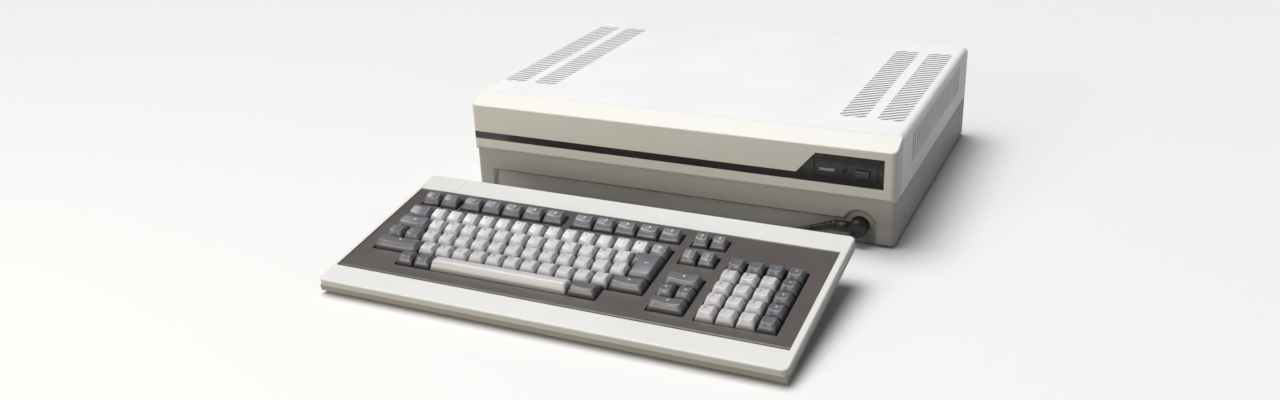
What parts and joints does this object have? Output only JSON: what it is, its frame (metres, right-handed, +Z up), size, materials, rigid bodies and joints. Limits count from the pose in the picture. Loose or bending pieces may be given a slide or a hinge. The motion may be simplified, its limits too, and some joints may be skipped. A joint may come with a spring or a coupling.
{
  "type": "vintage home computer",
  "caption": "Desktop home computer of a low, wide main unit with slitted cover and a separate corded keyboard with sculpted keys and fold-out legs.",
  "frame": {"origin": "centre of the footprint of main unit and keyboard together, on the desk", "axes": "+Z up, the fronts of both housings face -Y, +X to the user's right"},
  "size_m": [0.494, 0.6628, 0.115],
  "materials": {
    "case_paint": "matt off-white enamel",
    "case_plastic": "finely grained off-white moulding",
    "keyboard_plastic": "finely grained off-white moulding",
    "black_plastic": "smooth black",
    "black_matte": "matt black",
    "lamp": "clear red lens",
    "button_plastic": "off-white",
    "deck_plastic": "glossy dark brown grey",
    "key_light": "light grey",
    "key_dark": "dark grey",
    "rubber": "matt black rubber",
    "steel": "zinc-plated sheet",
    "screw": "plated",
    "board": "green glass-fibre board",
    "switch_plastic": "black moulding"
  },
  "bodies": {
    "computer": {"lower_case": "case_plastic", "top_cover": "case_paint", "front_bezel": "case_plastic", "black_trim": "black_plastic", "power_lamp": "lamp", "power_switch": "black_matte", "keyboard_socket": "black_matte", "rubber_feet": "rubber", "cover_screws": "screw", "rear_panel": "steel", "slot_covers": "steel", "rear_ports": "steel", "power_supply": "steel", "fan_frame": "black_matte", "main_board": "board", "card_cage": "steel", "cord_plug": "rubber", "keyboard_cord": "rubber", "cord_relief": "rubber", "kb_upper_case": "keyboard_plastic", "kb_corner_cover": "keyboard_plastic", "kb_lower_case": "keyboard_plastic", "kb_deck": "deck_plastic", "switch_plate": "steel", "key_switches": "switch_plastic", "kb_board": "board", "kb_front_feet": "rubber"},
    "power_button": {"power_button": "button_plastic"},
    "fan_rotor": {"fan_rotor": "black_matte"},
    "kb_leg_left": {"kb_leg_left": "keyboard_plastic"},
    "kb_leg_right": {"kb_leg_right": "keyboard_plastic"},
    "key_stop": {"key_stop": "key_dark"},
    "key_copy": {"key_copy": "key_dark"},
    "key_roll_up": {"key_roll_up": "key_dark"},
    "key_roll_down": {"key_roll_down": "key_dark"},
    "key_esc": {"key_esc": "key_dark"},
    "key_bs": {"key_bs": "key_dark"},
    "key_tab": {"key_tab": "key_dark"},
    "key_ctrl": {"key_ctrl": "key_dark"},
    "key_caps": {"key_caps": "key_dark"},
    "key_shift_left": {"key_shift_left": "key_dark"},
    "key_shift_right": {"key_shift_right": "key_dark"},
    "key_kana": {"key_kana": "key_dark"},
    "key_graph": {"key_graph": "key_dark"},
    "key_xfer": {"key_xfer": "key_dark"},
    "key_ins": {"key_ins": "key_dark"},
    "key_del": {"key_del": "key_dark"},
    "key_up": {"key_up": "key_dark"},
    "key_left": {"key_left": "key_dark"},
    "key_right": {"key_right": "key_dark"},
    "key_down": {"key_down": "key_dark"},
    "keys_figures": {"keys_figures": "key_light"},
    "keys_upper": {"keys_upper": "key_light"},
    "keys_home": {"keys_home": "key_light"},
    "keys_lower": {"keys_lower": "key_light"},
    "keys_function": {"keys_function": "key_dark"},
    "numpad_light": {"numpad_light": "key_light"},
    "numpad_dark": {"numpad_dark": "key_dark"},
    "key_return": {"key_return": "key_dark"},
    "key_space": {"key_space": "key_light"}
  },
  "joints": [
    {"name": "power_button_push", "type": "slide", "parent": "computer", "child": "power_button", "axis": [0, 1, 0], "range_m": [0, 0.0025], "stiffness_N_per_m": 300, "springref_m": -0.002},
    {"name": "fan_spin", "type": "hinge", "parent": "computer", "child": "fan_rotor", "pos_m": [-0.185, 0.3103, 0.058], "axis": [0, 1, 0], "continuous": true},
    {"name": "kb_leg_left_fold", "type": "hinge", "parent": "computer", "child": "kb_leg_left", "pos_m": [-0.212, -0.15727, 0.02838], "axis": [1, 0, 0], "range_deg": [0, 101]},
    {"name": "kb_leg_right_fold", "type": "hinge", "parent": "computer", "child": "kb_leg_right", "pos_m": [0.194, -0.15727, 0.02838], "axis": [1, 0, 0], "range_deg": [0, 101]},
    {"name": "key_stop_press", "type": "slide", "parent": "computer", "child": "key_stop", "axis": [0, 0.1478, -0.989], "range_m": [0, 0.0038], "stiffness_N_per_m": 60, "springref_m": -0.006},
    {"name": "key_copy_press", "type": "slide", "parent": "computer", "child": "key_copy", "axis": [0, 0.1478, -0.989], "range_m": [0, 0.0038], "stiffness_N_per_m": 60, "springref_m": -0.006},
    {"name": "key_roll_up_press", "type": "slide", "parent": "computer", "child": "key_roll_up", "axis": [0, 0.1478, -0.989], "range_m": [0, 0.0038], "stiffness_N_per_m": 60, "springref_m": -0.006},
    {"name": "key_roll_down_press", "type": "slide", "parent": "computer", "child": "key_roll_down", "axis": [0, 0.1478, -0.989], "range_m": [0, 0.0038], "stiffness_N_per_m": 60, "springref_m": -0.006},
    {"name": "key_esc_press", "type": "slide", "parent": "computer", "child": "key_esc", "axis": [0, 0.1478, -0.989], "range_m": [0, 0.0038], "stiffness_N_per_m": 60, "springref_m": -0.006},
    {"name": "key_bs_press", "type": "slide", "parent": "computer", "child": "key_bs", "axis": [0, 0.1478, -0.989], "range_m": [0, 0.0038], "stiffness_N_per_m": 60, "springref_m": -0.006},
    {"name": "key_tab_press", "type": "slide", "parent": "computer", "child": "key_tab", "axis": [0, 0.1478, -0.989], "range_m": [0, 0.0038], "stiffness_N_per_m": 120, "springref_m": -0.006},
    {"name": "key_ctrl_press", "type": "slide", "parent": "computer", "child": "key_ctrl", "axis": [0, 0.1478, -0.989], "range_m": [0, 0.0038], "stiffness_N_per_m": 60, "springref_m": -0.006},
    {"name": "key_caps_press", "type": "slide", "parent": "computer", "child": "key_caps", "axis": [0, 0.1478, -0.989], "range_m": [0, 0.0038], "stiffness_N_per_m": 60, "springref_m": -0.006},
    {"name": "key_shift_left_press", "type": "slide", "parent": "computer", "child": "key_shift_left", "axis": [0, 0.1478, -0.989], "range_m": [0, 0.0038], "stiffness_N_per_m": 120, "springref_m": -0.006},
    {"name": "key_shift_right_press", "type": "slide", "parent": "computer", "child": "key_shift_right", "axis": [0, 0.1478, -0.989], "range_m": [0, 0.0038], "stiffness_N_per_m": 120, "springref_m": -0.006},
    {"name": "key_kana_press", "type": "slide", "parent": "computer", "child": "key_kana", "axis": [0, 0.1478, -0.989], "range_m": [0, 0.0038], "stiffness_N_per_m": 60, "springref_m": -0.006},
    {"name": "key_graph_press", "type": "slide", "parent": "computer", "child": "key_graph", "axis": [0, 0.1478, -0.989], "range_m": [0, 0.0038], "stiffness_N_per_m": 60, "springref_m": -0.006},
    {"name": "key_xfer_press", "type": "slide", "parent": "computer", "child": "key_xfer", "axis": [0, 0.1478, -0.989], "range_m": [0, 0.0038], "stiffness_N_per_m": 60, "springref_m": -0.006},
    {"name": "key_ins_press", "type": "slide", "parent": "computer", "child": "key_ins", "axis": [0, 0.1478, -0.989], "range_m": [0, 0.0038], "stiffness_N_per_m": 60, "springref_m": -0.006},
    {"name": "key_del_press", "type": "slide", "parent": "computer", "child": "key_del", "axis": [0, 0.1478, -0.989], "range_m": [0, 0.0038], "stiffness_N_per_m": 60, "springref_m": -0.006},
    {"name": "key_up_press", "type": "slide", "parent": "computer", "child": "key_up", "axis": [0, 0.1478, -0.989], "range_m": [0, 0.0038], "stiffness_N_per_m": 120, "springref_m": -0.006},
    {"name": "key_left_press", "type": "slide", "parent": "computer", "child": "key_left", "axis": [0, 0.1478, -0.989], "range_m": [0, 0.0038], "stiffness_N_per_m": 60, "springref_m": -0.006},
    {"name": "key_right_press", "type": "slide", "parent": "computer", "child": "key_right", "axis": [0, 0.1478, -0.989], "range_m": [0, 0.0038], "stiffness_N_per_m": 60, "springref_m": -0.006},
    {"name": "key_down_press", "type": "slide", "parent": "computer", "child": "key_down", "axis": [0, 0.1478, -0.989], "range_m": [0, 0.0038], "stiffness_N_per_m": 120, "springref_m": -0.006},
    {"name": "keys_figures_press", "type": "slide", "parent": "computer", "child": "keys_figures", "axis": [0, 0.1478, -0.989], "range_m": [0, 0.0038], "stiffness_N_per_m": 780, "springref_m": -0.006},
    {"name": "keys_upper_press", "type": "slide", "parent": "computer", "child": "keys_upper", "axis": [0, 0.1478, -0.989], "range_m": [0, 0.0038], "stiffness_N_per_m": 720, "springref_m": -0.006},
    {"name": "keys_home_press", "type": "slide", "parent": "computer", "child": "keys_home", "axis": [0, 0.1478, -0.989], "range_m": [0, 0.0038], "stiffness_N_per_m": 720, "springref_m": -0.006},
    {"name": "keys_lower_press", "type": "slide", "parent": "computer", "child": "keys_lower", "axis": [0, 0.1478, -0.989], "range_m": [0, 0.0038], "stiffness_N_per_m": 660, "springref_m": -0.006},
    {"name": "keys_function_press", "type": "slide", "parent": "computer", "child": "keys_function", "axis": [0, 0.1478, -0.989], "range_m": [0, 0.0038], "stiffness_N_per_m": 600, "springref_m": -0.006},
    {"name": "numpad_light_press", "type": "slide", "parent": "computer", "child": "numpad_light", "axis": [0, 0.1478, -0.989], "range_m": [0, 0.0038], "stiffness_N_per_m": 720, "springref_m": -0.006},
    {"name": "numpad_dark_press", "type": "slide", "parent": "computer", "child": "numpad_dark", "axis": [0, 0.1478, -0.989], "range_m": [0, 0.0038], "stiffness_N_per_m": 480, "springref_m": -0.006},
    {"name": "key_return_press", "type": "slide", "parent": "computer", "child": "key_return", "axis": [0, 0.1478, -0.989], "range_m": [0, 0.0038], "stiffness_N_per_m": 120, "springref_m": -0.006},
    {"name": "key_space_press", "type": "slide", "parent": "computer", "child": "key_space", "axis": [0, 0.1478, -0.989], "range_m": [0, 0.0038], "stiffness_N_per_m": 120, "springref_m": -0.006}
  ]
}
